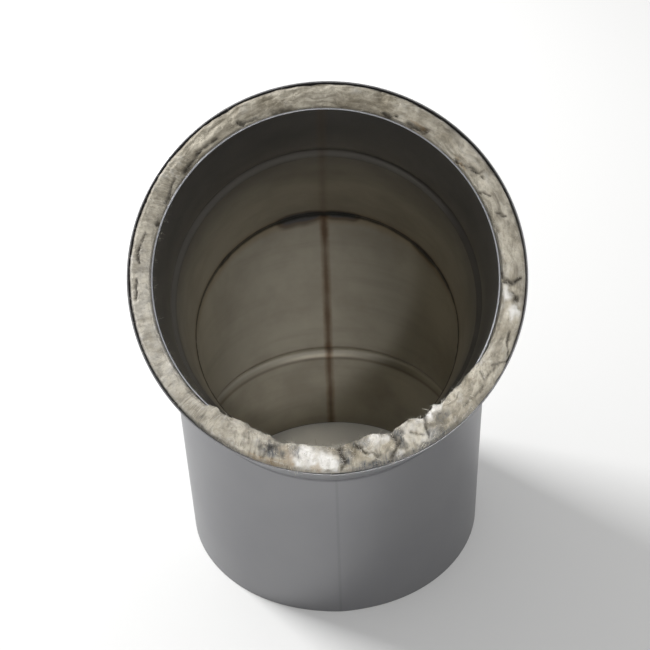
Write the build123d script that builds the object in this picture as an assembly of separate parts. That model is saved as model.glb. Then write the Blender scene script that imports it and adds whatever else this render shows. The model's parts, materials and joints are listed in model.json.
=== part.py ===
from build123d import *
import os
from math import cos, radians, sin, tan

# Double-wall flue elbow, standing on its lower end.
# A stainless liner carries the gas. A sheet-metal jacket stands round it, and mineral wool fills
# the space between them. Liner and jacket are each two mitred tubes, welded where they meet.
# The origin is the centre of the liner's lower end. +Z runs up the lower leg, and the upper leg
# leans towards -Y. Lengths are in millimetres and angles in degrees.

# Bend, shared by jacket and liner
BEND_ANGLE = 45.0
LEG_LENGTH = 142.0  # from either end of the jacket to its mitre, along the axis

# Jacket
JACKET_OUTSIDE = 180.0
JACKET_SHEET = 0.8

# Liner
LINER_BORE = 150.0
LINER_SHEET = 0.8
SOCKET_BORE = 153.0  # each end is widened to take the next liner
SOCKET_DEPTH = 57.0  # from the liner's end to the rolled bead
BEAD_WIDTH = 10.0
BEAD_HEIGHT = 1.6  # how far the bead stands out of the socket's wall
BEAD_ROUNDING = 3.0

# How the liner lies in the jacket
LINER_PROUD = 4.5  # the liner stands out of the jacket's upper end by this
LINER_SAG = 2.1  # its upper leg lies this much nearer to the inside of the bend
JACKET_SIDE = 0.8  # the jacket's axes lie this far along X from the liner's

# Wool packing
WOOL_GAP = 0.2  # left free between the wool and each sheet
WOOL_RECESS_FOOT = 1.0  # the wool stops this short of the jacket's lower end
WOOL_RECESS_MOUTH = 1.0  # and this short of its upper end

# Worked out from the sizes above
HALF_BEND = BEND_ANGLE / 2
JACKET_INSIDE = JACKET_OUTSIDE - 2 * JACKET_SHEET
UPPER_AXIS = Vector(0, -sin(radians(BEND_ANGLE)), cos(radians(BEND_ANGLE)))
JACKET_FOOT = Vector(JACKET_SIDE, 0, 0)
JACKET_MOUTH = JACKET_FOOT + Vector(0, 0, LEG_LENGTH) + UPPER_AXIS * LEG_LENGTH
JACKET_LENGTHS = (LEG_LENGTH, LEG_LENGTH)
LINER_DROP = LINER_SAG / sin(radians(BEND_ANGLE))
LINER_LENGTHS = (
    LEG_LENGTH - LINER_DROP,
    LEG_LENGTH + LINER_PROUD + LINER_DROP * cos(radians(BEND_ANGLE)),
)
LINER_FOOT = Vector(0, 0, 0)
LINER_MOUTH = LINER_FOOT + Vector(0, 0, LINER_LENGTHS[0]) + UPPER_AXIS * LINER_LENGTHS[1]


def blank_length(leg_length, radius):
    """Length of a straight tube that still reaches past the mitre on the outside of the bend."""
    return leg_length + 2 * radius * tan(radians(HALF_BEND))


def mitred(blank, leg_length):
    """Cut a blank that stands on its end at the origin, where the other leg's blank meets it."""
    normal = Vector(0, -sin(radians(HALF_BEND)), cos(radians(HALF_BEND)))
    return split(blank, Plane(origin=(0, 0, leg_length), z_dir=normal), keep=Keep.BOTTOM)


def elbow_legs(blanks, lengths, foot, mouth):
    """Mitre two blanks and set one up from the foot, the other down from the mouth."""
    places = (
        Plane(origin=foot, x_dir=(1, 0, 0), z_dir=(0, 0, 1)),
        Plane(origin=mouth, x_dir=(-1, 0, 0), z_dir=-UPPER_AXIS),
    )
    return [
        place.location * mitred(blank, length)
        for place, blank, length in zip(places, blanks, lengths)
    ]


def plain_blank(radius, length, start=0.0):
    """A full round blank of a given radius, from a start height up to a length."""
    return Pos(0, 0, start) * Cylinder(
        radius, length - start, align=(Align.CENTER, Align.CENTER, Align.MIN)
    )


def jacket_blank(length):
    """A straight length of jacket tube."""
    return plain_blank(JACKET_OUTSIDE / 2, length) - plain_blank(JACKET_INSIDE / 2, length)


def liner_line(growth, length):
    """The liner's inner wall from its end inwards, moved outwards by growth."""
    socket = SOCKET_BORE / 2 + growth
    tube = LINER_BORE / 2 + growth
    corners = [
        (socket, 0),
        (socket, SOCKET_DEPTH),
        (socket + BEAD_HEIGHT, SOCKET_DEPTH + BEAD_WIDTH / 2),
        (tube, SOCKET_DEPTH + BEAD_WIDTH),
        (tube, length),
    ]
    return FilletPolyline(*[Vector(r, 0, z) for r, z in corners], radius=BEAD_ROUNDING)


def liner_blank(length):
    """A straight length of liner tube, with its widened end and its rolled bead."""
    inner = liner_line(0, length)
    outer = liner_line(LINER_SHEET, length)
    ends = [Line(inner @ place, outer @ place) for place in (0, 1)]
    return revolve(make_face([inner, outer, *ends]), Axis.Z)


def liner_room(length):
    """The room that a length of liner, and the gap round it, take out of the wool."""
    wall = liner_line(LINER_SHEET + WOOL_GAP, length)
    low, high = wall @ 0, wall @ 1
    core = Polyline(low, Vector(0, 0, low.Z), Vector(0, 0, high.Z), high)
    return revolve(make_face([wall, core]), Axis.Z)


def make_jacket():
    """Both legs of the jacket."""
    blanks = [jacket_blank(blank_length(length, JACKET_OUTSIDE / 2)) for length in JACKET_LENGTHS]
    return elbow_legs(blanks, JACKET_LENGTHS, JACKET_FOOT, JACKET_MOUTH)


def make_liner():
    """Both legs of the liner."""
    blanks = [liner_blank(blank_length(length, SOCKET_BORE / 2)) for length in LINER_LENGTHS]
    return elbow_legs(blanks, LINER_LENGTHS, LINER_FOOT, LINER_MOUTH)


def make_wool():
    """The packing of each leg, from its end to the mitre."""
    radius = JACKET_INSIDE / 2 - WOOL_GAP
    recesses = (WOOL_RECESS_FOOT, WOOL_RECESS_MOUTH)
    blanks = [
        plain_blank(radius, blank_length(length, radius), recess)
        for length, recess in zip(JACKET_LENGTHS, recesses)
    ]
    rooms = [liner_room(blank_length(length, SOCKET_BORE / 2)) for length in LINER_LENGTHS]
    lower_room, upper_room = elbow_legs(rooms, LINER_LENGTHS, LINER_FOOT, LINER_MOUTH)
    fills = elbow_legs(blanks, JACKET_LENGTHS, JACKET_FOOT, JACKET_MOUTH)
    return [fill - (lower_room + upper_room) for fill in fills]


def main():
    """Write one file for each piece."""
    jacket_lower, jacket_upper = make_jacket()
    liner_lower, liner_upper = make_liner()
    wool_lower, wool_upper = make_wool()
    pieces = {
        "jacket_lower": jacket_lower,
        "jacket_upper": jacket_upper,
        "liner_lower": liner_lower,
        "liner_upper": liner_upper,
        "wool_lower": wool_lower,
        "wool_upper": wool_upper,
    }
    os.makedirs("parts", exist_ok=True)
    for name, piece in pieces.items():
        piece.label = name
        export_step(piece, f"parts/{name}.step")


main()
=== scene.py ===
"""Double-wall flue elbow: its jacket, liner and wool packing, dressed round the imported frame.

Lengths in the code are metres where a name says nothing, and millimetres where it ends in _mm.
An angle on a leg is measured round its axis, from the inside of the bend (the throat) at 0 degrees
to the outside (the heel) at 180, and is positive towards +X.
"""

import json
import logging
import random
from collections.abc import Callable
from dataclasses import dataclass, field, fields
from enum import Enum
from functools import cached_property, partial
from math import atan2, cos, degrees, exp, hypot, pi, radians, sin, tau

import bmesh
import bpy
from mathutils import Matrix, Vector, noise

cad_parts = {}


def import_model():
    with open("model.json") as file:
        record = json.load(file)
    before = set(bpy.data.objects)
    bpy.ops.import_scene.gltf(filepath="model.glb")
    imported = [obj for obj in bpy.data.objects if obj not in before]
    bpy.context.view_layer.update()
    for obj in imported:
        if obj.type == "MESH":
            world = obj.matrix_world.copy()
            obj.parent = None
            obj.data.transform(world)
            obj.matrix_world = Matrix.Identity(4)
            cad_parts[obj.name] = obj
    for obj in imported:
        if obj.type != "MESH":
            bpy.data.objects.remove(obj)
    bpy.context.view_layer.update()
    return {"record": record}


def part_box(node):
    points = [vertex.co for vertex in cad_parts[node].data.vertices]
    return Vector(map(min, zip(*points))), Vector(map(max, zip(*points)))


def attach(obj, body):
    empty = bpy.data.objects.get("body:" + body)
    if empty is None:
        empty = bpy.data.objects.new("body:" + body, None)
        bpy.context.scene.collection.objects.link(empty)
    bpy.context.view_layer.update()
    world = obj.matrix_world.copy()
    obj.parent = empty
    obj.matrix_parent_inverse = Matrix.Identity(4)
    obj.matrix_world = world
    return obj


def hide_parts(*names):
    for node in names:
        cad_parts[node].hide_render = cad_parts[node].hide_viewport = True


LOG = logging.getLogger("flue_elbow")
MM = 0.001
BODY = "root"
SIDE = Vector((1.0, 0.0, 0.0))

Socket = bpy.types.NodeSocket
Table = tuple[tuple[float, float], ...]
Noises = tuple[tuple[float, float, int], ...]


def linear(hex_colour: str, alpha: float = 1.0) -> tuple[float, float, float, float]:
    """Turn an sRGB hex colour into the linear values a shader takes.

    Args:
        hex_colour: Six hex digits, red first.
        alpha: The fourth value.

    Returns:
        Linear red, green and blue, and alpha.
    """
    channels = [int(hex_colour[i : i + 2], 16) / 255 for i in (0, 2, 4)]
    red, green, mouth_shade = (c / 12.92 if c <= 0.04045 else ((c + 0.055) / 1.055) ** 2.4 for c in channels)
    return red, green, mouth_shade, alpha


class Node(Enum):
    """The kinds of shader node that the finishes, the floor and the sky are made of."""

    SHADER = "ShaderNodeBsdfPrincipled"
    MATT = "ShaderNodeBsdfDiffuse"
    GLOW = "ShaderNodeEmission"
    MIX_SHADERS = "ShaderNodeMixShader"
    SKY = "ShaderNodeBackground"
    SURFACE = "ShaderNodeOutputMaterial"
    WORLD = "ShaderNodeOutputWorld"
    PLACE = "ShaderNodeTexCoord"
    PATH = "ShaderNodeLightPath"
    ATTRIBUTE = "ShaderNodeAttribute"
    MAPPING = "ShaderNodeMapping"
    NOISE = "ShaderNodeTexNoise"
    RANGE = "ShaderNodeMapRange"
    MATH = "ShaderNodeMath"
    VECTOR_MATH = "ShaderNodeVectorMath"
    MIX = "ShaderNodeMix"
    PARTS = "ShaderNodeSeparateColor"
    BUMP = "ShaderNodeBump"


def add_node(
    tree: bpy.types.NodeTree, kind: Node, inputs: dict | tuple = (), out: int | str = 0, **settings
) -> Socket | None:
    """Add a node, set its properties, and fill or link its inputs.

    Args:
        tree: The node tree.
        kind: The kind of node.
        inputs: Values, or outputs to link, by the input's name or number, or in the inputs' own order.
        out: Which output to hand back.
        settings: Properties of the node.

    Returns:
        That output, or None where the node has none.
    """
    node = tree.nodes.new(kind.value)
    for key, value in settings.items():
        setattr(node, key, value)
    for key, value in inputs.items() if isinstance(inputs, dict) else enumerate(inputs):
        if isinstance(value, Socket):
            tree.links.new(value, node.inputs[key])
        else:
            node.inputs[key].default_value = value
    return node.outputs[out] if node.outputs else None


def interpolate(table: Table, x: float) -> float:
    """Read a value off a table of points, with smooth steps between them.

    Args:
        table: Pairs of position and value, in rising position.
        x: Where to read.

    Returns:
        The value there, or the nearest end's value outside the table.
    """
    if x <= table[0][0]:
        return table[0][1]
    for (x0, y0), (x1, y1) in zip(table, table[1:]):
        if x <= x1:
            t = (x - x0) / (x1 - x0)
            return y0 + (y1 - y0) * t * t * (3 - 2 * t)
    return table[-1][1]


def fbm(point: Vector, size_mm: float, octaves: int = 4) -> float:
    """Smooth layered noise from about -1 to 1.

    Args:
        point: Where, in metres.
        size_mm: The size of its largest features.
        octaves: How many finer layers are added.

    Returns:
        The noise's value.
    """
    return noise.fractal(point / (size_mm * MM), 1.0, 2.0, octaves)


def layered(point: Vector, layers: Noises) -> float:
    """Add up layers of noise.

    Args:
        point: Where, in metres.
        layers: Each layer's height, the size of its features in millimetres and its octaves.

    Returns:
        The sum.
    """
    return sum(height * fbm(point, size_mm, octaves) for height, size_mm, octaves in layers)


@dataclass(frozen=True)
class Leg:
    """One leg of a mitred elbow: its end, the way in along its axis, and its mitre plane."""

    name: str
    end: Vector
    inward: Vector
    throat: Vector
    mitre: Vector
    mitre_normal: Vector

    def place(self, angle: float, radius: float, depth: float) -> Vector:
        """Place a point.

        Args:
            angle: Degrees from the throat.
            radius: Distance from the leg's axis.
            depth: Distance in from the leg's end.

        Returns:
            The point in the row frame.
        """
        a = radians(angle)
        return self.end + (self.throat * cos(a) + SIDE * sin(a)) * radius + self.inward * depth

    def outward(self, angle: float) -> Vector:
        """Return the way out from the axis at an angle in degrees."""
        return self.place(angle, 1.0, 0) - self.place(angle, 0.0, 0)

    def locate(self, point: Vector) -> tuple[float, float, float]:
        """Find a point's place on the leg.

        Args:
            point: The point in the row frame.

        Returns:
            Its angle in degrees, its radius and its depth.
        """
        offset = point - self.end
        x, y = offset.dot(SIDE), offset.dot(self.throat)
        return degrees(atan2(x, y)), hypot(x, y), offset.dot(self.inward)


def elbow_legs(foot: Vector, mouth: Vector, mouth_axis: Vector) -> tuple[Leg, Leg]:
    """Work out both legs of a tube that is mitred where their axes meet.

    Args:
        foot: Centre of the lower end, whose axis is vertical.
        mouth: Centre of the upper end.
        mouth_axis: The way out of the upper end.

    Returns:
        The lower leg and the upper leg.
    """
    up = Vector((0, 0, 1))
    run = (mouth.y - foot.y) / mouth_axis.y
    mitre = mouth - mouth_axis * run
    normal = (up + mouth_axis).normalized()
    lower_throat = (mouth_axis - up * mouth_axis.dot(up)).normalized()
    upper_throat = (mouth_axis * mouth_axis.dot(up) - up).normalized()
    return (
        Leg("lower", foot, up, lower_throat, mitre, normal),
        Leg("upper", mouth, -mouth_axis, upper_throat, mitre, -normal),
    )


def spin_section(
    leg: Leg, section: list[tuple[float, float]], steps: int, start: float = 0.0
) -> bmesh.types.BMesh:
    """Turn a section once round a leg's axis.

    Args:
        leg: The leg.
        section: Pairs of radius and depth, in millimetres, from one end of the line to the other.
        steps: How many steps the turn takes.
        start: The angle at which the first column of vertices stands.

    Returns:
        A new bmesh with the shell.
    """
    bm = bmesh.new()
    verts = [bm.verts.new(leg.place(start, r * MM, d * MM)) for r, d in section]
    edges = [bm.edges.new(pair) for pair in zip(verts, verts[1:])]
    bmesh.ops.spin(
        bm, geom=verts + edges, cent=leg.end, axis=leg.inward, angle=tau, steps=steps, use_merge=True
    )
    bmesh.ops.remove_doubles(bm, verts=bm.verts, dist=1e-7)
    return bm


def cut_mitre(bm: bmesh.types.BMesh, leg: Leg, rows_mm: tuple[float, ...] = ()) -> None:
    """Cut a shell's legs at the mitre, close the cut between its two walls and face it outwards.

    Args:
        bm: The shell, with an inner and an outer wall that both reach past the mitre.
        leg: The leg.
        rows_mm: Distances from the mitre plane at which rows of vertices are added for a weld.
    """
    for row in rows_mm:
        everything = bm.verts[:] + bm.edges[:] + bm.faces[:]
        place = leg.mitre - leg.mitre_normal * row * MM
        bmesh.ops.bisect_plane(bm, geom=everything, dist=1e-6, plane_co=place, plane_no=leg.mitre_normal)
    everything = bm.verts[:] + bm.edges[:] + bm.faces[:]
    cut = bmesh.ops.bisect_plane(
        bm, geom=everything, dist=1e-6, plane_co=leg.mitre, plane_no=leg.mitre_normal, clear_outer=True
    )
    rim = [e for e in cut["geom_cut"] if isinstance(e, bmesh.types.BMEdge)]
    bmesh.ops.bridge_loops(bm, edges=rim)
    bmesh.ops.recalc_face_normals(bm, faces=bm.faces)


def finish_piece(
    shape: bmesh.types.BMesh | bpy.types.Mesh, name: str, material: bpy.types.Material,
    nodes: tuple[str, ...] = (),
) -> bpy.types.Object:
    """Turn a shape into a smooth-shaded piece with its finish, and tie it to the frame.

    Args:
        shape: The mesh, or a bmesh, which is freed.
        name: The piece's name.
        material: Its finish.
        nodes: The CAD nodes that it stands for.

    Returns:
        The piece.
    """
    mesh = shape
    if isinstance(shape, bmesh.types.BMesh):
        mesh = bpy.data.meshes.new(name)
        shape.to_mesh(mesh)
        shape.free()
    mesh.shade_smooth()
    piece = bpy.data.objects.new(name, mesh)
    bpy.context.scene.collection.objects.link(piece)
    mesh.materials.append(material)
    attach(piece, BODY)
    if nodes:
        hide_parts(*nodes)
    return piece


@dataclass(frozen=True)
class Grain:
    """A noise pattern: its largest features, its finer layers, and the coordinates that it follows."""

    size_mm: float
    layers: float = 3.0
    strength: float = 0.5
    stretch: tuple[float, float, float] = (1.0, 1.0, 1.0)
    along: str = ""


class Finish:
    """What the finishes share: their grains and the marks on the mesh are read for them."""

    name = "finish"
    marks: tuple[str, ...] = ()

    def build(self) -> bpy.types.Material:
        """Make the material.

        Returns:
            The material, with its nodes.
        """
        material = bpy.data.materials.new(self.name)
        material.use_nodes = True
        material.node_tree.nodes.clear()
        add = partial(add_node, material.node_tree)
        place = add(Node.PLACE, out="Object")
        read = {mark: add(Node.ATTRIBUTE, out="Fac", attribute_name=mark) for mark in self.marks}
        for item in fields(self):
            grain = getattr(self, item.name)
            if isinstance(grain, Grain):
                start = place
                if grain.along:
                    start = add(Node.ATTRIBUTE, out="Vector", attribute_name=grain.along)
                mapped = add(Node.MAPPING, {"Vector": start, "Scale": grain.stretch})
                scale = 1 / (grain.size_mm * MM)
                look = {"Scale": scale, "Detail": grain.layers, "Roughness": grain.strength}
                read[item.name] = add(Node.NOISE, {"Vector": mapped} | look)
        add(Node.SURFACE, (self.paint(add, read),))
        return material

    @staticmethod
    def lay(add: Callable, base: str, layers: tuple, weights: dict | None = None, **settings) -> Socket:
        """Lay tints over a base colour.

        Args:
            add: Adds a node to the material.
            base: The hex colour below.
            layers: Each tint's hex colour, the source that it follows, the span of the source over
                which it changes, and its share before and after that span.
            weights: A further factor on the share, by source.
            settings: Properties of the spans' nodes.

        Returns:
            The colour.
        """
        colour = linear(base)
        for tint, source, *span in layers:
            share = add(Node.RANGE, (source, *span), **settings)
            if source in (weights or {}):
                share = add(Node.MATH, (share, weights[source]), operation="MULTIPLY")
            colour = add(Node.MIX, {0: share, 6: colour, 7: linear(tint)}, 2, data_type="RGBA")
        return colour

    def paint(self, add: Callable, read: dict[str, Socket]) -> Socket:
        """Make the shader; each finish does this its own way.

        Args:
            add: Adds a node to the material.
            read: The finish's grains and marks, by name.

        Returns:
            The shader's output.
        """
        raise NotImplementedError


@dataclass(frozen=True)
class RolledJacketSheet(Finish):
    """Cold-rolled steel sheet with a dull passivated skin: a grey satin with soft, wide highlights."""

    name: str = "cold-rolled steel sheet, passivated"
    marks: tuple[str, ...] = ("from_seam_mm", "from_mitre_mm", "from_end_mm")
    sheet: str = "88888A"
    smudge: str = "828285"
    edge: str = "828284"
    weld: str = "66666A"
    roughness: float = 0.4
    metallic: float = 0.8
    cloud: Grain = Grain(45)
    fine: Grain = Grain(1.2, 3, 0.6)
    wander: Grain = Grain(4, 2)

    def paint(self, add: Callable, read: dict[str, Socket]) -> Socket:
        """Paint the sheet, its bare cut edge and its welds.

        Args:
            add: Adds a node to the material.
            read: The finish's grains and marks, by name.

        Returns:
            The shader's output.
        """
        wander = add(Node.MATH, (read["wander"], 0.5, -0.25), operation="MULTIPLY_ADD")
        marks = ("from_seam_mm", "from_mitre_mm")
        seam, mitre = (add(Node.MATH, (read[mark], wander), operation="ADD") for mark in marks)
        layers = (
            (self.smudge, read["cloud"], 0.35, 0.7, 0.0, 0.45),
            (self.weld, seam, 0.35, 1.1, 0.2, 0.0),
            (self.weld, mitre, 0.6, 1.6, 0.6, 0.0),
            (self.edge, read["from_end_mm"], 0.12, 0.35, 1.0, 0.0),
        )
        colour = self.lay(add, self.sheet, layers, interpolation_type="SMOOTHSTEP")
        rough = add(Node.MATH, (read["cloud"], 0.06, self.roughness - 0.03), operation="MULTIPLY_ADD")
        rough = add(Node.MATH, (read["fine"], 0.04, rough), operation="MULTIPLY_ADD")
        bump = add(Node.BUMP, {"Height": read["fine"], "Strength": 0.2, "Distance": 0.015 * MM})
        look = {"Base Color": colour, "Roughness": rough, "Normal": bump, "Metallic": self.metallic}
        return add(Node.SHADER, look)


@dataclass(frozen=True)
class StainlessLinerSheet(Finish):
    """Mill-finish stainless sheet, rolled and welded: a brownish grey, dull mirror with heat tints."""

    name: str = "stainless steel sheet, rolled and welded"
    marks: tuple[str, ...] = (
        "from_seam_mm", "from_mitre_mm", "from_end_mm", "tack_tint", "seam_heat", "mouth_side", "crease",
        "burnish",
    )
    sheet: str = "ADA798"
    stain: str = "8F887A"
    edge: str = "8C8D90"
    tint_seam: str = "6B5138"
    # Also the colour of the painted shade along both edges of each bead.
    heat_core_and_bead_shade: str = "3F2A1B"
    tint_weld: str = "2B2B28"
    tint_blue: str = "52565C"
    tint_plum: str = "44342E"
    tint_straw: str = "8A7656"
    # Painted shade: the colour the upper leg is darkened to towards the mouth, where light reaches its walls
    # only at a grazing angle.
    painted_mouth_shade: str = "3F4148"
    # Painted highlight along the crown of each bead.
    bead_highlight_colour: str = "CFCBC0"
    roughness: float = 0.36
    metallic: float = 0.72
    cloud: Grain = Grain(40, 4, 0.55)
    fine: Grain = Grain(1.0, 3, 0.6)
    hoop: Grain = Grain(14, 4, 0.6, (0.15, 0.15, 1.6))
    wander: Grain = Grain(6)
    ragged: Grain = Grain(18)

    def paint(self, add: Callable, read: dict[str, Socket]) -> Socket:
        """Paint the sheet, its cut edge, its brown seam and its dark, tinted mitre weld, with painted shade
        in the upper leg towards the mouth and painted shade and highlight along the beads.

        Args:
            add: Adds a node to the material.
            read: The finish's grains and marks, by name.

        Returns:
            The shader's output.
        """
        wander = add(Node.MATH, (read["wander"], 1.6, -0.8), operation="MULTIPLY_ADD")
        ragged = add(Node.MATH, (read["ragged"], 5.0, -2.5), operation="MULTIPLY_ADD")
        ways = (("from_seam_mm", wander), ("from_mitre_mm", wander), ("from_mitre_mm", ragged))
        seam, mitre, halo = (add(Node.MATH, (read[mark], way), operation="ADD") for mark, way in ways)
        layers = (
            (self.stain, read["cloud"], 0.35, 0.72, 0.0, 0.6),
            (self.stain, read["hoop"], 0.45, 0.75, 0.0, 0.3),
            # Painted shade along the bead edges and a painted highlight along the bead crowns.
            (self.heat_core_and_bead_shade, read["crease"], 0.0, 1.0, 0.0, 1.0),
            (self.bead_highlight_colour, read["burnish"], 0.0, 1.0, 0.0, 1.0),
            # Painted shade in the upper leg, growing towards the mouth.
            (self.painted_mouth_shade, read["mouth_side"], 0.0, 1.0, 0.0, 0.85),
            (self.tint_straw, halo, 1.0, 9.0, 0.5, 0.0),
            (self.tint_seam, seam, 1.1, 3.8, 0.7, 0.0),
            (self.heat_core_and_bead_shade, seam, 0.3, 1.6, 0.45, 0.0),
            (self.tint_plum, read["tack_tint"], 0.1, 0.4, 0.0, 0.6),
            (self.tint_blue, read["tack_tint"], 0.4, 0.7, 0.0, 0.7),
            (self.tint_weld, mitre, 0.9, 3.0, 0.85, 0.0),
            (self.edge, read["from_end_mm"], 0.25, 0.55, 1.0, 0.0),
        )
        heats = {seam: read["seam_heat"]}
        colour = self.lay(add, self.sheet, layers, heats, interpolation_type="SMOOTHSTEP")
        rough = add(Node.MATH, (read["cloud"], 0.2, self.roughness - 0.1), operation="MULTIPLY_ADD")
        rough = add(Node.MATH, (read["fine"], 0.08, rough), operation="MULTIPLY_ADD")
        rings = add(Node.MATH, (read["hoop"], 3.0), operation="MULTIPLY")
        relief = add(Node.MATH, (read["fine"], 0.5, rings), operation="MULTIPLY_ADD")
        bump = add(Node.BUMP, {"Height": relief, "Strength": 0.3, "Distance": 0.02 * MM})
        look = {"Base Color": colour, "Roughness": rough, "Normal": bump, "Metallic": self.metallic}
        return add(Node.SHADER, look)


@dataclass(frozen=True)
class MineralWool(Finish):
    """Rock mineral wool, spun and felted: a matt grey-beige mat with dark patches and white tufts, and
    painted shade and highlight on its relief.
    """

    name: str = "mineral wool, spun and felted"
    pale: str = "C7C0B0"
    felt: str = "938B7A"
    shade: str = "5F5849"
    # Also the colour of the painted shade in the wool's cracks, hollows and gaps.
    dark: str = "302A22"
    straw: str = "94794F"
    # Also the colour of the painted highlight on raised and lit felt.
    white: str = "DEDCD8"
    grey: str = "56585A"
    broad: Grain = Grain(11, 3, 0.55)
    mottle: Grain = Grain(3.2, 4, 0.6)
    speck: Grain = Grain(0.8, 3, 0.6)
    layer: Grain = Grain(2.4, 3, 0.5, along="laid")
    strand: Grain = Grain(0.9, 3, 0.6, along="laid")

    def paint(self, add: Callable, read: dict[str, Socket]) -> Socket:
        """Paint the felt, and the straw, white, grey and dark places that the mesh marks; the white places
        include painted highlight and the dark places painted shade.

        Args:
            add: Adds a node to the material.
            read: The finish's grains and marks, by name.

        Returns:
            The shader's output.
        """
        # The tint attribute holds the wool's own colours and also painted light and shade: white includes
        # painted highlight, dark painted shade.
        tint = add(Node.ATTRIBUTE, out="Color", attribute_name="wool_tint")
        grey = add(Node.ATTRIBUTE, out="Alpha", attribute_name="wool_tint")
        white, straw, dark = (add(Node.PARTS, (tint,), part) for part in range(3))
        uneven = add(Node.MATH, (read["mottle"], 2.6, -0.3), operation="MULTIPLY_ADD")
        frayed = add(Node.MATH, (read["strand"], 3.0, -0.7), operation="MULTIPLY_ADD")
        pairs = ((white, uneven), (straw, uneven), (grey, frayed))
        white, straw, grey = (add(Node.MATH, pair, operation="MULTIPLY") for pair in pairs)
        layers = (
            (self.pale, read["broad"], 0.35, 0.65, 0.0, 1.0),
            (self.shade, read["layer"], 0.45, 0.68, 0.0, 0.62),
            (self.shade, read["mottle"], 0.46, 0.7, 0.0, 0.35),
            (self.pale, read["strand"], 0.52, 0.68, 0.0, 0.3),
            (self.shade, read["strand"], 0.32, 0.45, 0.3, 0.0),
            (self.shade, read["speck"], 0.56, 0.76, 0.0, 0.35),
            (self.white, white, 0.0, 1.0, 0.0, 1.0),
            (self.straw, straw, 0.0, 1.0, 0.0, 1.0),
            (self.grey, grey, 0.0, 1.0, 0.0, 1.0),
            (self.dark, dark, 0.0, 1.0, 0.0, 1.0),
        )
        colour = self.lay(add, self.felt, layers)
        fuzz = add(Node.MATH, (read["speck"], read["strand"]), operation="ADD")
        relief = add(Node.MATH, (read["layer"], 1.5, fuzz), operation="MULTIPLY_ADD")
        bump = add(Node.BUMP, {"Height": relief, "Strength": 1.0, "Distance": 0.4 * MM})
        look = {"Base Color": colour, "Normal": bump, "Roughness": 0.95, "Specular IOR Level": 0.2}
        return add(Node.SHADER, look | {"Sheen Weight": 0.15, "Sheen Roughness": 0.5})


@dataclass(frozen=True)
class WoolFibre(Finish):
    """Loose glassy mineral fibres, drawn from melt: pale, slightly shiny hairs."""

    name: str = "mineral fibre, loose"
    pale: str = "D8D3C8"
    grey: str = "8A8478"
    spread: Grain = Grain(2.5, 2)

    def paint(self, add: Callable, read: dict[str, Socket]) -> Socket:
        """Paint the fibres, some pale and some grey.

        Args:
            add: Adds a node to the material.
            read: The finish's grains and marks, by name.

        Returns:
            The shader's output.
        """
        layers = ((self.grey, read["spread"], 0.35, 0.65, 0.0, 1.0),)
        colour = self.lay(add, self.pale, layers, interpolation_type="SMOOTHSTEP")
        return add(Node.SHADER, {"Base Color": colour, "Roughness": 0.7})


class MitredTube:
    """What the jacket and the liner share: each leg is spun, cut at the mitre, and shaped."""

    slot = "tube"
    form = "tube"

    def make(self) -> list[bpy.types.Object]:
        """Build both legs.

        Returns:
            The pieces.
        """
        material = self.finish.build()
        pieces = []
        for leg in self.legs:
            reach = (leg.mitre - leg.end).length / MM + self.past_mitre * self.radius_mm
            bm = spin_section(leg, self.section(reach), self.steps, self.seam_angle)
            cut_mitre(bm, leg, self.weld_rows_mm)
            self.shape(bm, leg)
            node = f"{self.slot}_{leg.name}"
            pieces.append(finish_piece(bm, f"{node}_{self.form}", material, (node,)))
        return pieces


@dataclass
class Jacket(MitredTube):
    """The outer sheet: two mitred tubes, butt-welded along the throat and round the mitre."""

    legs: tuple[Leg, Leg]
    radius_mm: float
    finish: RolledJacketSheet
    slot: str = "jacket"
    form: str = "sheet"
    past_mitre: float = 0.45
    sheet_mm: float = 0.8
    edge_round_mm: float = 0.34
    seam_angle: float = 0.6
    peak_mm: float = 0.35
    peak_width_mm: float = 9.0
    weld_mm: float = 0.3
    weld_half_mm: float = 0.9
    wave_mm: float = 0.12
    wave_size_mm: float = 70.0
    calm_mm: float = 12.0
    most_lift_mm: float = 0.3
    steps: int = 300
    row_mm: float = 6.0
    weld_rows_mm: tuple[float, ...] = (0.4, 0.8, 1.3, 2.2, 4.0)

    def section(self, reach_mm: float) -> list[tuple[float, float]]:
        """Lay out the wall's section from the far end of the inside, round the cut edge, to the outside.

        Args:
            reach_mm: How far in both walls reach, past the mitre.

        Returns:
            Pairs of radius and depth.
        """
        inner, outer, soft = self.radius_mm - self.sheet_mm, self.radius_mm, self.edge_round_mm
        rows = [i * self.row_mm + 3.0 for i in range(int(reach_mm / self.row_mm) + 1)]
        corner = 1 - cos(pi / 4)
        edge = [
            (inner, 1.2), (inner, soft), (inner + soft * corner, soft * corner), (inner + soft, 0),
            (outer - soft, 0), (outer - soft * corner, soft * corner), (outer, soft), (outer, 1.2),
        ]
        return [(inner, d) for d in reversed(rows)] + edge + [(outer, d) for d in rows]

    def shape(self, bm: bmesh.types.BMesh, leg: Leg) -> None:
        """Give the rolled tube its slight waves, its peak at the seam and its weld beads.

        Args:
            bm: The tube.
            leg: Its leg.
        """
        seam, mitre, end = (bm.verts.layers.float.new(mark) for mark in self.finish.marks)
        middle = self.radius_mm - self.sheet_mm / 2
        for v in bm.verts:
            angle, radius, depth = leg.locate(v.co)
            outside = radius / MM > middle
            arc = radians(angle - self.seam_angle) * self.radius_mm
            v[seam] = abs(arc)
            v[mitre] = abs((v.co - leg.mitre).dot(leg.mitre_normal)) / MM
            v[end] = depth / MM
            fade = min(1.0, v[mitre] / self.calm_mm)
            lift = self.wave_mm * fade * fbm(v.co, self.wave_size_mm, 2) * min(1.0, depth / MM / 8)
            lift += self.peak_mm * exp(-((arc / self.peak_width_mm) ** 2)) - self.peak_mm
            if outside:
                ripple = 1 + 0.4 * fbm(v.co, 3, 2)
                lift += self.weld_mm * exp(-((v[mitre] / self.weld_half_mm) ** 2)) * ripple
            lift = min(lift, self.most_lift_mm if fade < 1 else 0.0)
            v.co += leg.outward(angle).normalized() * lift * MM


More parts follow.
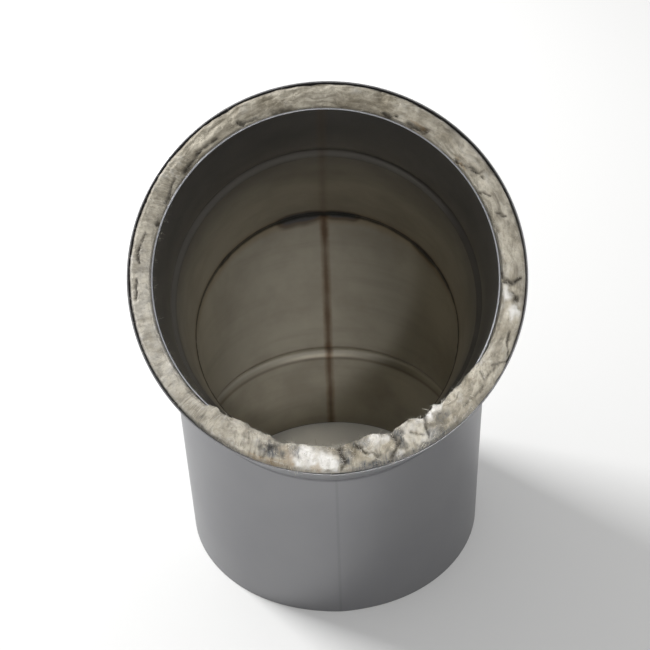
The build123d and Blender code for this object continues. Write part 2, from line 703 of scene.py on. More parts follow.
@dataclass
class Liner(MitredTube):
    """The gas tube: two mitred tubes with widened, beaded ends, seam-welded along the heel."""

    legs: tuple[Leg, Leg]
    socket_mm: float
    finish: StainlessLinerSheet
    slot: str = "liner"
    radius_mm: float = 75.0
    past_mitre: float = 0.5
    sheet_mm: float = 0.8
    socket_depth_mm: float = 57.0
    bead_width_mm: float = 10.0
    bead_height_mm: float = 1.6
    seam_angle: float = 179.4
    seam_heats: dict[str, float] = field(default_factory=lambda: {"lower": 1.0, "upper": 0.3})
    # How strong the painted shade and highlight along the beads are, by leg.
    painted_bead_light: dict[str, float] = field(default_factory=lambda: {"lower": 0.45, "upper": 0.05})
    weld_mm: float = 0.55
    weld_half_mm: float = 1.3
    ridge_mm: float = 0.15
    ridge_half_mm: float = 1.2
    # Half width of the painted shade and highlight lines along the beads.
    bead_light_half_mm: float = 1.6
    # How deep into the upper leg the painted shade from the mouth reaches.
    mouth_shade_depth_mm: float = 105.0
    edge_round_mm: float = 0.25
    steps: int = 288
    row_mm: float = 5.0
    weld_rows_mm: tuple[float, ...] = (0.5, 1.0, 1.5, 2.0, 2.7, 3.6, 5.0)
    tack_spots: tuple[tuple[float, float, float, float], ...] = (
        (-169.5, 11.0, 5.4, 0.95),
        (171.5, 9.0, 4.2, 0.85),
        (128.0, 8.0, 4.2, 0.6),
        (112.0, 7.0, 3.5, 0.5),
        (-128.0, 4.0, 3.4, 0.5),
    )

    def wall(self, depth: float) -> float:
        """Read the inside radius at a depth.

        Args:
            depth: Millimetres from the end.

        Returns:
            The radius in millimetres.
        """
        middle = self.socket_depth_mm + self.bead_width_mm / 2
        half = self.bead_width_mm / 2
        crown = self.socket_mm + self.bead_height_mm - 0.2
        table = (
            (self.socket_depth_mm - 0.8, self.socket_mm),
            (middle - 0.2, crown),
            (middle + 0.6, crown),
            (middle + half + 0.8, self.radius_mm),
        )
        return interpolate(table, depth)

    def section(self, reach_mm: float) -> list[tuple[float, float]]:
        """Lay out the wall's section from the far end of the inside, round the cut edge, to the outside.

        Args:
            reach_mm: How far in both walls reach, past the mitre.

        Returns:
            Pairs of radius and depth.
        """
        start, stop = self.socket_depth_mm - 2, self.socket_depth_mm + self.bead_width_mm + 2
        rows = [1.2 + i * self.row_mm for i in range(int(start / self.row_mm))]
        rows += [start + i * 0.5 for i in range(int((stop - start) / 0.5) + 1)]
        rows += [stop + (i + 1) * self.row_mm for i in range(int((reach_mm - stop) / self.row_mm))]
        inner, outer, soft = self.socket_mm, self.socket_mm + self.sheet_mm, self.edge_round_mm
        corner = 0.07
        edge = [
            (inner, soft), (inner + corner, corner), (inner + soft, 0),
            (outer - soft, 0), (outer - corner, corner), (outer, soft),
        ]
        inside = [(self.wall(d), d) for d in reversed(rows)]
        outside = [(self.wall(d) + self.sheet_mm, d) for d in rows]
        return inside + edge + outside

    def shape(self, bm: bmesh.types.BMesh, leg: Leg) -> None:
        """Raise the welds on the inside and mark the distances that the heat tints follow, the share of
        painted shade towards the mouth, and the painted shade and highlight along the beads.

        Args:
            bm: The tube.
            leg: Its leg.
        """
        seam, mitre, end, tack, seam_heat, mouth_side, crease, burnish = (
            bm.verts.layers.float.new(mark) for mark in self.finish.marks
        )
        bead_start, bead_stop = self.socket_depth_mm, self.socket_depth_mm + self.bead_width_mm
        lines = (bead_start, bead_stop, (bead_start + bead_stop) / 2 - 0.5)
        bead_light_share = self.painted_bead_light[leg.name]
        for v in bm.verts:
            angle, radius, depth = leg.locate(v.co)
            inside = radius / MM < self.wall(depth / MM) + self.sheet_mm / 2
            arc = radians((angle - self.seam_angle + 180) % 360 - 180) * self.radius_mm
            v[seam] = abs(arc)
            v[mitre] = abs((v.co - leg.mitre).dot(leg.mitre_normal)) / MM
            v[end] = depth / MM
            v[tack] = self.tack_heat(angle, v[mitre] + 0.8 * fbm(v.co, 6, 2))
            # Painted shade along both edges of the bead and a painted highlight along its crown, standing in
            # for how the bead is lit.
            start, stop, crown = (exp(-(((depth / MM - at) / self.bead_light_half_mm) ** 2)) for at in lines)
            v[crease] = bead_light_share * max(start, stop)
            v[burnish] = bead_light_share * crown
            # Painted shade: the upper leg is tinted darker the nearer it is to the mouth; the lower leg gets
            # none.
            mouth_shade = max(0.0, min(1.0, 1.25 - depth / MM / self.mouth_shade_depth_mm))
            v[mouth_side] = (leg.name == "upper") * mouth_shade
            v[seam_heat] = self.seam_heats[leg.name] * (0.85 + 0.4 * fbm(v.co, 25, 2))
            if not inside:
                continue
            ripple = 1 + 0.45 * fbm(v.co, 4, 2)
            sink = self.weld_mm * exp(-((v[mitre] / self.weld_half_mm) ** 2)) * ripple
            sink += self.ridge_mm * exp(-((arc / self.ridge_half_mm) ** 2)) * min(1.0, depth / MM / 6)
            v.co -= leg.outward(angle).normalized() * sink * MM

    def tack_heat(self, angle: float, from_mitre_mm: float) -> float:
        """Say how strong the tint of the tack welds is at a place.

        Args:
            angle: Degrees from the throat.
            from_mitre_mm: Distance from the mitre plane.

        Returns:
            From 0, none, to 1.
        """
        most = 0.0
        for centre, half_angle, half_mm, strength in self.tack_spots:
            off = abs((angle - centre + 180) % 360 - 180) / half_angle
            most = max(most, strength * exp(-(off**4) - (from_mitre_mm / half_mm) ** 2))
        return most


class Tint(Enum):
    """What colours a place on the wool: WHITE and DARK also carry painted highlight and painted shade."""

    WHITE = 0
    STRAW = 1
    DARK = 2
    GREY = 3


@dataclass(frozen=True)
class Crack:
    """A split in the felt, from one angle and radius on the mouth to another, sunk and tinted dark as
    painted shade.
    """

    angle: float
    radius_mm: float
    to_angle: float
    to_radius_mm: float
    width_mm: float
    depth_mm: float
    # How dark the painted shade in the split is.
    dark: float = 0.85

    @cached_property
    def run(self) -> tuple[float, float, float, float]:
        """Its start and its run, along +X and towards the throat, in millimetres."""
        ax, ay = (f(radians(self.angle)) * self.radius_mm for f in (sin, cos))
        bx, by = (f(radians(self.to_angle)) * self.to_radius_mm for f in (sin, cos))
        return ax, ay, bx - ax, by - ay

    def at(self, x: float, y: float) -> float:
        """Weigh the crack at a place on the mouth.

        Args:
            x: Millimetres along +X from the liner's axis.
            y: Millimetres towards the throat.

        Returns:
            From 0, outside, to 1 on its line.
        """
        ax, ay, dx, dy = self.run
        t = max(0.0, min(1.0, ((x - ax) * dx + (y - ay) * dy) / max(dx * dx + dy * dy, 1e-9)))
        gap = hypot(x - ax - dx * t, y - ay - dy * t) / self.width_mm
        return exp(-gap * gap) if gap < 3 else 0.0


@dataclass(frozen=True)
class Patch:
    """A soft-edged tinted or swollen place on the wool."""

    tint: Tint
    angle: float
    radius_mm: float
    half_angle: float
    half_mm: float
    strength: float
    lift_mm: float = 0.0

    def at(self, angle: float, radius_mm: float) -> float:
        """Weigh the patch at a place.

        Args:
            angle: Degrees from the throat.
            radius_mm: Distance from the liner's axis.

        Returns:
            From 0, outside, to 1 at its centre.
        """
        a = ((angle - self.angle + 180) % 360 - 180) / self.half_angle
        r = (radius_mm - self.radius_mm) / self.half_mm
        gap = a * a + r * r
        return exp(-gap * gap) if gap < 4 else 0.0


@dataclass(frozen=True)
class Strands:
    """A group of loose fibres: where they start, how many and how long they are, and how they lie.

    The turn is in degrees from the way out of the ring, and lift is how far they stand off, from 0 to 1.
    """

    angles: tuple[float, float]
    reach_mm: float
    count: int
    length_mm: float
    lift: float
    turn: float = 90.0
    spread: float = 45.0
    thick_mm: float = 0.05


@dataclass
class WoolPacking:
    """Mineral wool stuffed between liner and jacket, ragged at the mouth where it was cut.

    Tables by the angle on the ring: lay_ring and lay_across set how patterns run, swirl how far they
    wander, tone the painted light and shade of the wool, paler above 0 and darker below it,
    outer_gap_and_shade how open the gap at the jacket is and how much painted shade lies in it, and
    lip_reach how far the torn lip swells inwards, in millimetres. Tables by the share of the way from liner
    to jacket: calm_height, lip_radius and lip_height.
    """

    legs: tuple[Leg, Leg]
    jacket_legs: tuple[Leg, Leg]
    jacket_bore_mm: float
    liner: Liner
    finish: MineralWool
    fibre: WoolFibre
    gap_mm: float = 0.25
    blank_mm: float = 12.0
    inner_rows_mm: tuple[float, ...] = (6, 30, 55, 57.5, 60, 62, 64, 66, 69, 110)
    outer_rows_mm: tuple[float, ...] = (6, 30, 70, 110)
    lay_ring: Table = (
        (-180, 11), (-135, 11), (-112, 75), (-52, 75), (-35, 18), (0, 40), (40, 22), (100, 16), (180, 11),
    )
    lay_across: Table = (
        (-180, 1), (-135, 1), (-112, 0.3), (-52, 0.3), (-35, 1), (0, 0.4), (40, 0.9), (60, 1), (180, 1),
    )
    swirl_mm: float = 7.0
    swirl: Table = ((-180, 1.6), (-60, 1.2), (-35, 3), (45, 3.5), (60, 2), (180, 1.6))
    # Painted light and shade by angle: above 0 the wool is tinted paler, as on its lit left side, below 0
    # darker, as at its top.
    tone: Table = (
        (-180, -0.14), (-152, -0.12), (-132, 0.02), (-110, 0.08), (-90, 0.22), (-62, 0.24), (-45, 0.1),
        (-22, 0.12), (0, 0), (30, -0.04), (45, 0.06), (140, 0.06), (165, -0.02), (180, -0.14),
    )
    torn: Noises = ((0.9, 13, 2), (0.6, 4.5, 3), (0.3, 1.3, 2))
    felted: Noises = ((0.75, 3, 3),)
    swollen: Noises = ((0.9, 3.2, 3), (0.5, 1.1, 2))
    ragged: Noises = ((0.3, 9, 3),)
    sideways: Noises = ((0.5, 3.5, 3),)
    wobble: Noises = ((0.9, 3.4, 3),)
    broken: Noises = ((0.8, 1.8, 2),)
    foot: Noises = ((0.5, 7, 4),)
    foot_recess_mm: float = 1.2
    lip_full_mm: float = 1.5
    lay_lean: float = 0.7
    outer_edge: float = 0.86
    # How far out from the liner the painted shade along it reaches, as a share of the way to the jacket.
    inner_edge: float = 0.16
    end_mm: float = 1.0
    fibre_depth_mm: float = 2.6
    stick: tuple[tuple[float, float, float], ...] = (
        (55.2, 79.8, -5), (54.6, 81, -4.85), (54, 82.4, -4.7), (53.4, 83.6, -4.55),
    )
    stick_thick_mm: float = 0.5
    steps: int = 1000
    rows: int = 34
    foot_steps: int = 360
    foot_rows: int = 10
    seed: int = 45
    strands: tuple[Strands, ...] = (
        Strands((-180, 180), 90, 1300, 3.4, 0.25),
        Strands((-118, -48), 90, 500, 4, 0.25, 0, 25),
        Strands((-40, 48), 90, 800, 3.2, 0.1, 75, 45, 0.085),
        Strands((-36, 41), 77.5, 160, 1.6, 0.2, 75, 40),
        Strands((-15, 2), 90, 220, 3, 0.1, 50, 50, 0.08),
        Strands((30, 42), 77, 30, 1.6, 0.4, 50, 60, 0.06),
    )
    calm_knee: tuple[float, float] = (0.35, 0.22)
    calm_height: Table = (
        (0, 0.8), (0.05, 2.3), (0.15, 3.3), (0.35, 3.9), (0.6, 3.7), (0.8, 2.9), (0.9, 1.2), (0.95, -1),
        (1, -4),
    )
    # Painted shade in the gap at the jacket, by angle; where it is low, the wool is raised towards the rim
    # instead.
    outer_gap_and_shade: Table = ((-40, 1), (-20, 0.6), (15, 0.45), (100, 0.35), (125, 0.9))
    lip_radius: Table = (
        (0, 0), (0.05, 0), (0.14, -0.6), (0.22, -1), (0.3, -0.93), (0.4, -0.45), (0.5, 0.1), (0.65, 0.38),
        (0.85, 0.78), (1, 1),
    )
    lip_height: Table = (
        (0, 2.5), (0.05, 4.9), (0.14, 4.8), (0.22, 5.2), (0.3, 6.4), (0.4, 7.4), (0.55, 7.6), (0.7, 6.9),
        (0.85, 4.8), (0.94, 2.2), (1, -1.8),
    )
    lip_reach: Table = (
        (-52, 0), (-45, 0.9), (-40.8, 1.9), (-36.2, 2.6), (-32, 3.2), (-28, 2.8), (-25, 3), (-21.7, 2.8),
        (-17.2, 1.6), (-13.8, 2.1), (-9, 2.7), (-4, 2.1), (1.2, 1.4), (4.8, 2.6), (8.5, 4.1), (14, 4.2),
        (20, 2.6), (23.3, 3.8), (27.4, 4.2), (32.3, 1.5), (35.6, 2.6), (36.9, 3.5), (39, 2), (43.8, 2.3),
        (50, 1.8), (58, 1.2), (64, 0.4), (68, 0),
    )
    cracks: tuple[Crack, ...] = tuple(Crack(*row) for row in (
        (-154.1, 79.2, -153, 81.5, 0.9, 2.2), (-170.6, 78.4, -164, 78.5, 0.9, 1.6, 0.6),
        (-159.4, 78.8, -154, 80, 0.7, 1.6, 0.7), (-144.5, 80.3, -137, 80.9, 0.7, 1.8, 0.8),
        (-137, 80.9, -129.5, 79.6, 1, 2, 0.85), (-125.3, 81.3, -121, 79.9, 0.6, 1.6, 0.7),
        (-121, 79.9, -116.7, 79, 0.6, 1.6, 0.7), (-110.6, 78.6, -109, 79, 0.8, 1.6),
        (-106.3, 82.6, -101, 84.3, 0.5, 1.4, 0.5), (-101, 84.3, -96, 83.2, 0.6, 1.8),
        (-91, 84, -85.4, 84.4, 0.5, 1.8), (158.9, 79, 154.5, 79.4, 0.8, 1.8),
        (149.6, 78.9, 143.5, 80.6, 1.1, 2.2, 0.8), (129.9, 78.5, 129, 79.2, 0.8, 1.6),
        (127.4, 79.7, 121.9, 84.3, 0.7, 1.7, 0.75), (120.6, 83.2, 120, 83.6, 0.7, 1.4),
        (117.1, 78.3, 114.2, 82.4, 0.5, 1.4, 0.7), (108.5, 80.9, 106.6, 85.3, 0.5, 1.4, 0.7),
        (89, 78, 86.4, 79, 0.8, 2.2, 0.95), (86.4, 79, 85.6, 82.5, 0.9, 2.2, 0.95),
        (85.6, 82.5, 87.2, 86.6, 0.8, 2.2, 0.95), (82.2, 83.4, 80.6, 84.6, 1.1, 2.2, 0.95),
        (70.2, 84.3, 62.4, 88.6, 0.6, 1.8), (62.4, 88, 58.9, 82.9, 0.6, 1.8, 0.7),
        (43, 83, 50, 84.6, 0.45, 1.2, 0.55), (50, 84.6, 56, 83.4, 0.5, 1.4, 0.7),
        (56, 83.4, 60, 85.6, 0.45, 1.2, 0.6), (-23, 80.5, -17.5, 78.5, 0.8, 1.6, 0.6),
        (2.2, 77, 3.6, 82.5, 1.2, 2.8, 0.95), (3.6, 82.5, 2, 87, 0.8, 1.8, 0.8),
        (7.5, 75.5, 10.5, 80, 0.8, 2.4, 0.85), (10.5, 80, 14.5, 82.5, 0.6, 1.8, 0.7),
        (19.5, 74, 20.8, 80, 1, 2.6, 0.9), (20.8, 80, 16.5, 86.5, 0.9, 2.2, 0.85),
        (25.5, 78.5, 28.5, 82, 0.6, 1.6, 0.6), (32.5, 75, 30, 83, 0.8, 2.2, 0.8),
        (-19.5, 79, -21, 84.5, 0.7, 1.6, 0.7),
    ))
    patches: tuple[Patch, ...] = tuple(Patch(tint, *row) for tint, rows in (
        (Tint.WHITE, (
            (-9, 80.5, 5, 5.5, 0.95, 1.2), (-3, 82.5, 4, 5, 0.85, 0.6), (0.4, 83.8, 2.5, 2.5, 1, 0.8),
            (76.8, 84.6, 2.2, 3, 0.85, 1.2), (82.5, 80.6, 2.6, 2.6, 0.8, 0.8),
            (34.5, 75.8, 6, 2.6, 0.85, 0.6), (15, 75.5, 5.5, 2.4, 0.6, 0.5), (19.8, 85.1, 1.6, 1.8, 0.6),
            (29.4, 83.1, 3.4, 2, 0.55), (25, 76, 3, 3, 0.4),
        )),
        (Tint.STRAW, (
            (-19.5, 85.6, 7.5, 1.4, 0.55), (-15, 80, 3, 3, 0.3), (146, 81, 3.5, 1, 0.5),
            (128, 79.6, 2.6, 0.9, 0.4), (-4.5, 85, 1.2, 3, 0.5), (-12.8, 83, 1.6, 4.5, 0.5),
        )),
        (Tint.DARK, (
            (-28, 72, 8, 3, 0.25), (-18, 77, 4, 2.6, 0.35), (12, 80.5, 3.2, 3.4, 0.05, 1.4),
            (26.5, 79.5, 4, 4, 0.05, 1.4), (168, 80, 9, 2.4, 0.25), (-165, 80, 8, 2.4, 0.25),
        )),
        (Tint.GREY, (
            (3.6, 80.5, 2.4, 4.5, 1, 0.6), (-19, 80.5, 4, 3.2, 1), (14, 86.8, 9, 2, 1),
            (30, 86.6, 8, 2.2, 0.9), (-12, 78, 2, 3.5, 0.7), (9.5, 85.5, 4.5, 1.8, 0.8),
            (16.5, 84.5, 3.5, 2.4, 0.7), (22, 79, 1.6, 5, 0.9, -0.8), (31.5, 84, 4, 2.2, 0.7),
            (36.5, 80.5, 4, 2.6, 0.6), (9, 75.5, 3, 2.5, 0.6),
        )),
    ) for row in rows)

    def outer_radius(self, leg: Leg, jacket_leg: Leg, angle: float) -> float:
        """Measure from the liner's axis to the jacket's inside.

        Args:
            leg: The liner's leg.
            jacket_leg: The jacket's leg.
            angle: Degrees from the throat.

        Returns:
            The distance in millimetres.
        """
        ray = leg.outward(angle)
        offset = (leg.end - jacket_leg.end) / MM
        along = offset.dot(ray)
        across = offset.dot(leg.throat) ** 2 + offset.dot(SIDE) ** 2
        return -along + (along**2 - across + self.jacket_bore_mm**2) ** 0.5

    def blank(self, leg: Leg, steps: int, rows: int) -> bmesh.types.BMesh:
        """Spin the packing of one leg, with its end as a flat ring of rows.

        Args:
            leg: The liner's leg.
            steps: Columns round the ring.
            rows: Rows of faces across the ring.

        Returns:
            The closed body, mitred, with an even ring at its end.
        """
        reach = (leg.mitre - leg.end).length / MM + self.jacket_bore_mm * 0.5
        lean = self.liner.sheet_mm + self.gap_mm
        inner = [(self.liner.wall(d) + lean, d) for d in reversed((*self.inner_rows_mm, reach))]
        r0, r1 = self.liner.socket_mm + lean, self.liner.socket_mm + self.blank_mm
        ring = [(r0 + (r1 - r0) * i / rows, 0.0) for i in range(rows + 1)]
        outer = [(r1, d) for d in (*self.outer_rows_mm, reach)]
        bm = spin_section(leg, inner + ring + outer, steps)
        cut_mitre(bm, leg)
        return bm

    def settle(self, leg: Leg, jacket_leg: Leg, bm: bmesh.types.BMesh, mouth: bool) -> None:
        """Press the blank into the room between liner and jacket and rough up its end.

        The inner wall stays cut at the liner's mitre, and the outer wall ends at the jacket's.

        Args:
            leg: The liner's leg.
            jacket_leg: The jacket's leg.
            bm: The blank.
            mouth: Whether this is the visible, ragged end.
        """
        tint = bm.verts.layers.float_color.new("wool_tint")
        laid = bm.verts.layers.float_vector.new("laid")
        r0 = self.liner.socket_mm + self.liner.sheet_mm + self.gap_mm
        r1 = self.liner.socket_mm + self.blank_mm
        base = (leg.end - jacket_leg.end).dot(leg.inward) / MM
        for v in bm.verts:
            angle, radius, depth = leg.locate(v.co)
            v[tint] = (0.0, 0.0, 0.0, 0.0)
            v[laid] = self.laid_place(angle, radius)
            outer = self.outer_radius(leg, jacket_leg, angle) - self.gap_mm
            share = (radius / MM - r0) / (r1 - r0)
            if depth / MM > self.end_mm:
                if radius / MM > r1 - 0.5:
                    on_cut = abs((v.co - leg.mitre).dot(leg.mitre_normal)) < 0.01 * MM
                    v.co = leg.place(angle, outer * MM, depth)
                    past = (v.co - jacket_leg.mitre).dot(leg.mitre_normal) + self.gap_mm * MM
                    if on_cut or past > 0:
                        v.co -= leg.inward * past / leg.inward.dot(leg.mitre_normal)
                continue
            if not mouth:
                lift = layered(v.co, self.foot) - self.foot_recess_mm - 0.8 * abs(2 * share - 1) ** 4
                v.co = leg.place(angle, (r0 + (outer - r0) * share) * MM, -(lift + base) * MM)
                continue
            self.place_mouth(leg, v, tint, angle, share, r0, outer, base)
            angle, radius, depth = leg.locate(v.co)
            v[laid] = self.laid_place(angle, radius - self.lay_lean * depth)

    def laid_place(self, angle: float, radius: float) -> Vector:
        """Shrink a place's way round the ring, so that a pattern there runs along the ring.

        Args:
            angle: Degrees from the throat.
            radius: Distance from the axis.

        Returns:
            The place for patterns.
        """
        ring = interpolate(self.lay_ring, angle) * MM
        across = radius * interpolate(self.lay_across, angle)
        spot = Vector((radius * sin(radians(angle)), radius * cos(radians(angle)), 0.0))
        swirl = noise.noise_vector(spot / (self.swirl_mm * MM)) * interpolate(self.swirl, angle) * MM
        return Vector((ring * sin(radians(angle)), ring * cos(radians(angle)), across)) + swirl

    def place_mouth(
        self, leg: Leg, v: bmesh.types.BMVert, tint: bmesh.types.BMLayerItem, angle: float, share: float,
        r0: float, outer: float, base: float,
    ) -> None:
        """Put one vertex of the mouth's ring where the torn wool has it, and tint it, painted shade and
        highlight included.

        Args:
            leg: The liner's upper leg.
            v: The vertex.
            tint: The tint layer, which also holds painted light and shade.
            angle: Degrees from the throat.
            share: From 0 at the liner to 1 at the jacket.
            r0: Radius at the liner, in millimetres.
            outer: Radius at the jacket, in millimetres.
            base: Depth of the jacket's end below the liner's, in millimetres.
        """
        flat = leg.place(angle, (r0 + (outer - r0) * share) * MM, 0)
        reach = interpolate(self.lip_reach, angle) * (1 + layered(flat, self.ragged))
        lip = min(1.0, reach / self.lip_full_mm)
        stretch = interpolate(self.lip_radius, share)
        over = reach * stretch if stretch < 0 else (outer - r0) * stretch
        low, high = self.calm_knee
        if share < low:
            calm_r = (outer - r0) * (high * share / low)
        else:
            calm_r = (outer - r0) * (high + (1 - high) * (share - low) / (1 - low))
        radius = r0 + calm_r + (over - calm_r) * lip
        calm_h = interpolate(self.calm_height, share)
        height = calm_h + (interpolate(self.lip_height, share) - calm_h) * lip
        spot = leg.place(angle, radius * MM, -height * MM)
        free = min(1.0, share / 0.12) * min(1.0, (1 - share) / 0.06)
        felt = self.laid_place(angle, (radius - self.lay_lean * height) * MM)
        rough = layered(spot, self.torn)
        rough += layered(felt, self.felted) + layered(spot, self.swollen) * lip
        sideways = layered(spot + Vector((1, 1, 1)), self.sideways) * lip
        marks = [0.0] * len(Tint)
        white, dark = Tint.WHITE.value, Tint.DARK.value
        x, y = sin(radians(angle)) * radius, cos(radians(angle)) * radius
        wobble = layered(spot, self.wobble)
        broken = max(0.0, min(1.0, 1.0 + layered(spot, self.broken)))
        # Painted shade: each crack is sunk into the felt and also tinted dark for the shade inside it.
        for crack in self.cracks:
            weight = crack.at(x + wobble, y - wobble) * broken
            rough -= crack.depth_mm * weight
            marks[dark] = max(marks[dark], crack.dark * weight)
        for patch in self.patches:
            weight = patch.at(angle + wobble * 2, radius + 2 * wobble)
            rough += patch.lift_mm * weight
            marks[patch.tint.value] = max(marks[patch.tint.value], patch.strength * weight)
        # Painted light and shade by angle: paler on the wool's left, darker at its top.
        tone = interpolate(self.tone, angle)
        # Painted shade where the felt is sunk and a painted highlight where it is raised.
        marks[dark] = max(marks[dark], min(0.6, -0.4 * (rough + 0.35)), -tone)
        marks[white] = max(marks[white], min(0.3, 0.3 * (rough - 0.35)) + tone, tone)
        # Painted shade: the wool is tinted dark towards the jacket, where the gap lies in shade, and raised
        # where the gap is closed.
        loose = interpolate(self.outer_gap_and_shade, angle)
        if share > self.outer_edge:
            marks[dark] = max(marks[dark], loose * min(0.9, 0.9 * (share - self.outer_edge) / 0.09))
            height += (1 - loose) * 12 * (share - self.outer_edge)
        # Painted shade: the wool is tinted darker next to the liner, except under the torn lip.
        if share < self.inner_edge and lip < 0.5:
            marks[dark] = max(marks[dark], 0.3 * (self.inner_edge - share) / self.inner_edge)
        radius += sideways * free
        height += rough * free
        v.co = leg.place(angle, min(radius, outer) * MM, (-height - base) * MM)
        v[tint] = tuple(marks)

    def make_fibres(self, body: bpy.types.Object) -> bpy.types.Object:
        """Lay loose fibres on the mouth's wool.

        Args:
            body: The wool of the upper leg, in place.

        Returns:
            The fibres, as one piece.
        """
        rng = random.Random(self.seed)
        leg = self.legs[1]
        places = []
        for polygon in body.data.polygons:
            angle, radius, depth = leg.locate(polygon.center)
            if depth / MM < self.fibre_depth_mm and polygon.normal.dot(leg.inward) < 0.2:
                places.append((polygon.center.copy(), polygon.normal.copy(), angle, radius / MM))
        places.sort(key=lambda place: place[2:])
        line = bpy.data.curves.new("strands", "CURVE")
        line.dimensions = "3D"
        line.bevel_depth = MM
        line.bevel_resolution = 0
        line.use_fill_caps = True
        for group in self.strands:
            low, high = group.angles
            room = [place for place in places if low < place[2] < high and place[3] < group.reach_mm]
            for _ in range(group.count):
                spot, normal, angle, _radius = rng.choice(room)
                self.add_strand(line, leg, rng, group, spot, normal, angle)
        self.add_stick(line, leg)
        scratch = bpy.data.objects.new("strands", line)
        bpy.context.scene.collection.objects.link(scratch)
        bpy.context.view_layer.update()
        graph = bpy.context.evaluated_depsgraph_get()
        strands = bpy.data.meshes.new_from_object(scratch.evaluated_get(graph))
        bpy.data.objects.remove(scratch)
        strands.name = "wool_upper_fibres"
        strands.materials.clear()
        return finish_piece(strands, strands.name, self.fibre.build())

    @staticmethod
    def add_strand(
        line: bpy.types.Curve, leg: Leg, rng: random.Random, group: "Strands", spot: Vector, normal: Vector,
        angle: float,
    ) -> None:
        """Add one bent fibre that starts in the wool and lies along it.

        Args:
            line: The curve that holds all fibres.
            leg: The liner's upper leg.
            rng: The seeded source of chance.
            group: The group that it belongs to.
            spot: Where it starts.
            normal: The way out of the wool there.
            angle: The place's angle, in degrees.
        """
        length_mm = group.length_mm * rng.uniform(0.35, 1.15)
        turn = radians(angle + rng.gauss(group.turn, group.spread))
        heading = (leg.throat * cos(turn) + SIDE * sin(turn)) * rng.choice((-1, 1))
        heading = (heading + normal * rng.uniform(-0.05, group.lift)).normalized()
        bend = normal.cross(heading) * rng.uniform(-0.5, 0.5) - normal * rng.uniform(0.1, 0.5)
        points = [spot - normal * 0.2 * MM]
        parts = 4
        for i in range(parts):
            heading = (heading + bend / parts).normalized()
            points.append(points[-1] + heading * length_mm * MM / parts)
        thick = group.thick_mm * rng.uniform(0.6, 1.3)
        spline = line.splines.new("POLY")
        spline.points.add(parts)
        for i, (point, place) in enumerate(zip(spline.points, points)):
            point.co = (*place, 1.0)
            point.radius = thick * (1.0 - 0.6 * i / parts)

    def add_stick(self, line: bpy.types.Curve, leg: Leg) -> None:
        """Add the one stiff white fibre that lies across the wool on the right.

        Args:
            line: The curve that holds all fibres.
            leg: The liner's upper leg.
        """
        spline = line.splines.new("POLY")
        spline.points.add(len(self.stick) - 1)
        for point, (angle, radius_mm, depth_mm) in zip(spline.points, self.stick):
            point.co = (*leg.place(angle, radius_mm * MM, depth_mm * MM), 1.0)
            point.radius = self.stick_thick_mm

    def make(self) -> list[bpy.types.Object]:
        """Build the packing of both legs and the loose fibres at the mouth.

        Returns:
            The pieces.
        """
        noise.seed_set(self.seed)
        material = self.finish.build()
        pieces = []
        for leg, jacket_leg in zip(self.legs, self.jacket_legs):
            mouth = leg is self.legs[1]
            detail = (self.steps, self.rows) if mouth else (self.foot_steps, self.foot_rows)
            bm = self.blank(leg, *detail)
            self.settle(leg, jacket_leg, bm, mouth)
            name = f"wool_{leg.name}"
            piece = finish_piece(bm, name + "_packing", material, (name,))
            pieces.append(piece)
        pieces.append(self.make_fibres(pieces[1]))
        return pieces


@dataclass(frozen=True)
class Lamp:
    """A soft square lamp: where it hangs and aims, its side in metres, its watts and its beam in degrees."""

    name: str
    place: tuple[float, float, float]
    aim: tuple[float, float, float]
    size: float
    power: float
    beam: float = 180.0

    def hang(self) -> None:
        """Hang the lamp in the scene."""
        data = bpy.data.lights.new(self.name, "AREA")
        data.size = self.size
        data.energy = self.power
        data.spread = radians(self.beam)
        lamp = bpy.data.objects.new(self.name, data)
        lamp.location = self.place
        lamp.rotation_euler = (Vector(self.aim) - Vector(self.place)).to_track_quat("-Z", "Y").to_euler()
        bpy.context.scene.collection.objects.link(lamp)


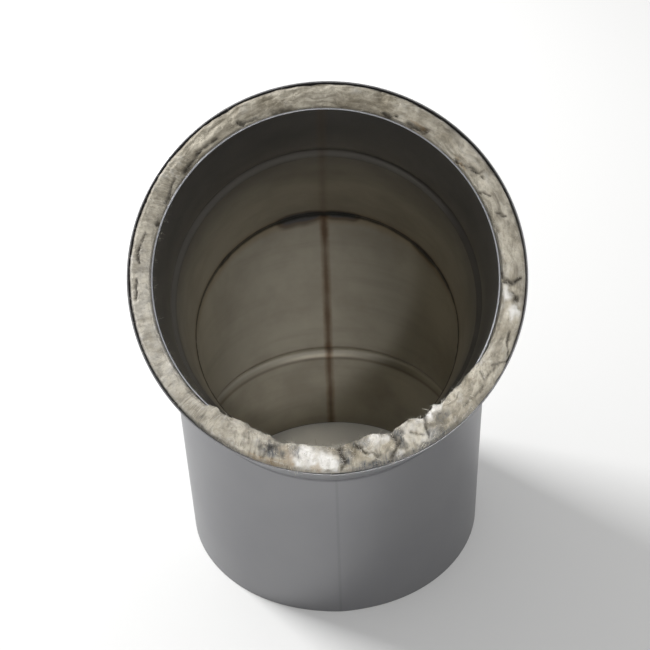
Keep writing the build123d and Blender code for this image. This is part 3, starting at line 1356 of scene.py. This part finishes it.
@dataclass
class Studio:
    """The plain floor, the soft lamps and the camera at the photograph's place."""

    camera_place: Vector = field(default_factory=lambda: Vector((-0.0011, -0.52381, 0.52259)))
    pitch: float = 36.13
    roll: float = 2.214
    lens_mm: float = 62.94
    sensor_mm: float = 36.0
    floor_size: float = 12.0
    floor_colour: str = "EDEDEC"
    white_share: float = 0.1
    foot_edge: tuple[float, float] = (0.085, 0.0905)
    sky: float = 0.56
    lamps: tuple[Lamp, ...] = (
        Lamp("key", (-1.4, 0.95, 1.15), (0.0, -0.05, 0.12), 0.7, 50.0),
        Lamp("mouth", (0.17, -1.12, 0.97), (0.0, -0.09, 0.21), 0.12, 0.085, 9.0),
    )

    def make_camera(self) -> None:
        """Stand the camera where the photograph was taken from."""
        p, r = radians(self.pitch), radians(self.roll)
        forward = Vector((0, cos(p), -sin(p)))
        down = forward.cross(SIDE)
        across = SIDE * cos(r) + down * sin(r)
        below = down * cos(r) - SIDE * sin(r)
        data = bpy.data.cameras.new("camera")
        data.sensor_width = self.sensor_mm
        data.lens = self.lens_mm
        data.clip_start = 0.01
        camera = bpy.data.objects.new("camera", data)
        turn = Matrix((across, -below, -forward)).transposed()
        camera.matrix_world = Matrix.Translation(self.camera_place) @ turn.to_4x4()
        bpy.context.scene.collection.objects.link(camera)
        bpy.context.scene.camera = camera

    def make_floor(self) -> None:
        """Lay a pale floor that shows nearly white and keeps the elbow's shadow."""
        material = bpy.data.materials.new("painted floor")
        material.use_nodes = True
        tree = material.node_tree
        tree.nodes.clear()
        add = partial(add_node, tree)
        seen = add(Node.PATH, out="Is Camera Ray")
        for kind in ("Is Glossy Ray", "Is Transmission Ray"):
            seen = add(Node.MATH, (seen, add(Node.PATH, out=kind)), operation="MAXIMUM")
        place = add(Node.PLACE, out="Object")
        away = add(Node.VECTOR_MATH, (place,), "Value", operation="LENGTH")
        open_floor = add(Node.RANGE, (away, *self.foot_edge, 0.0, self.white_share))
        share = add(Node.MATH, (seen, open_floor), operation="MULTIPLY")
        matt = add(Node.MATT, {"Color": linear(self.floor_colour)})
        white = add(Node.GLOW, {"Color": linear("FFFFFF"), "Strength": 1.0})
        add(Node.SURFACE, (add(Node.MIX_SHADERS, (share, matt, white)),))
        bm = bmesh.new()
        bmesh.ops.create_grid(bm, x_segments=1, y_segments=1, size=self.floor_size / 2)
        mesh = bpy.data.meshes.new("floor")
        bm.to_mesh(mesh)
        bm.free()
        mesh.materials.append(material)
        floor = bpy.data.objects.new("floor", mesh)
        bpy.context.scene.collection.objects.link(floor)

    def make_light(self) -> None:
        """Light the elbow softly from the left, and its inside from the front."""
        world = bpy.data.worlds.new("studio")
        world.use_nodes = True
        tree = world.node_tree
        tree.nodes.clear()
        sky = add_node(tree, Node.SKY, {"Color": linear("FFFFFF"), "Strength": self.sky})
        add_node(tree, Node.WORLD, (sky,))
        bpy.context.scene.world = world
        for lamp in self.lamps:
            lamp.hang()

    def make(self) -> None:
        """Set up camera, floor and light."""
        view = bpy.context.scene.view_settings
        view.view_transform = "Standard"
        self.make_camera()
        self.make_floor()
        self.make_light()


def plan_elbow(frame: dict) -> tuple[Jacket, Liner, WoolPacking]:
    """Read the elbow's sizes off the frame and lay out its sub-assemblies.

    Args:
        frame: What the loader returned.

    Returns:
        The jacket, the liner and the packing, not built yet.
    """
    mounts = {m["name"]: m for m in frame["record"]["mounts"]}
    mouth_mount = mounts["flue_socket_upper"]
    mouth_axis = Vector(mouth_mount["axis"]).normalized()
    liner_ends = (Vector(mounts[name]["pos_m"]) for name in ("flue_socket_lower", "flue_socket_upper"))
    liner_legs = elbow_legs(*liner_ends, mouth_axis)
    low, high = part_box("jacket_lower")
    centre_x, radius = (low.x + high.x) / 2, (high.x - low.x) / 2
    foot, rim = (Vector(mounts[name]["pos_m"]) for name in ("jacket_foot", "jacket_rim_upper"))
    foot.x = rim.x = centre_x
    jacket_legs = elbow_legs(foot, rim, mouth_axis)
    jacket = Jacket(jacket_legs, radius / MM, RolledJacketSheet())
    liner = Liner(liner_legs, mouth_mount["dims"]["r_mm"], StainlessLinerSheet())
    bore = jacket.radius_mm - jacket.sheet_mm
    return jacket, liner, WoolPacking(liner_legs, jacket_legs, bore, liner, MineralWool(), WoolFibre())


def main() -> None:
    """Load the frame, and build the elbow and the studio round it."""
    logging.basicConfig(level=logging.INFO, format="%(name)s: %(message)s")
    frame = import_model()
    for part in plan_elbow(frame):
        for piece in part.make():
            LOG.info("built %s: %d faces", piece.name, len(piece.data.polygons))
    Studio().make()


if __name__ == "__main__":
    main()
